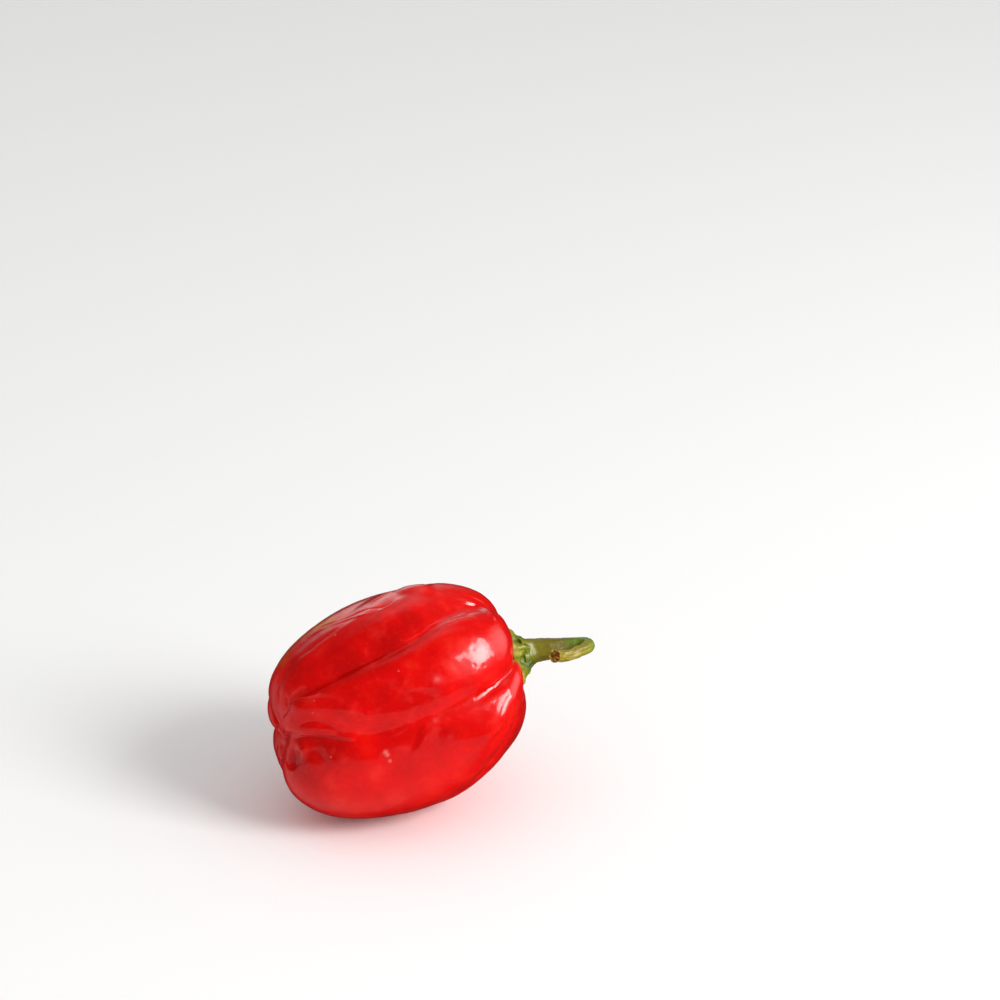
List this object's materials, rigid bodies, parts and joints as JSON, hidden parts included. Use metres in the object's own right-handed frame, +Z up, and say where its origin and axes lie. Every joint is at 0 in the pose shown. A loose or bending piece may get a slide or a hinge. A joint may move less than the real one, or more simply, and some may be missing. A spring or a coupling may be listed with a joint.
{
  "type": "scotch bonnet pepper",
  "caption": "Ripe red lobed hot pepper lying on its side, squat and deeply grooved, with a toothed green calyx and a short hooked stem.",
  "frame": {"origin": "centre of the flat spot that the pod rests on", "axes": "+X along the pod from its blossom end towards its stalk, +Z up from the surface that it lies on"},
  "size_m": [0.076, 0.0497, 0.0505],
  "materials": {
    "pod_skin": "waxy fruit skin, glossy",
    "calyx_green": "fleshy leaf, satin",
    "stem_green": "fresh stalk, satin, dry at the cut"
  },
  "bodies": {
    "root": {"pod": "pod_skin", "calyx": "calyx_green", "stem": "stem_green"}
  },
  "joints": []
}
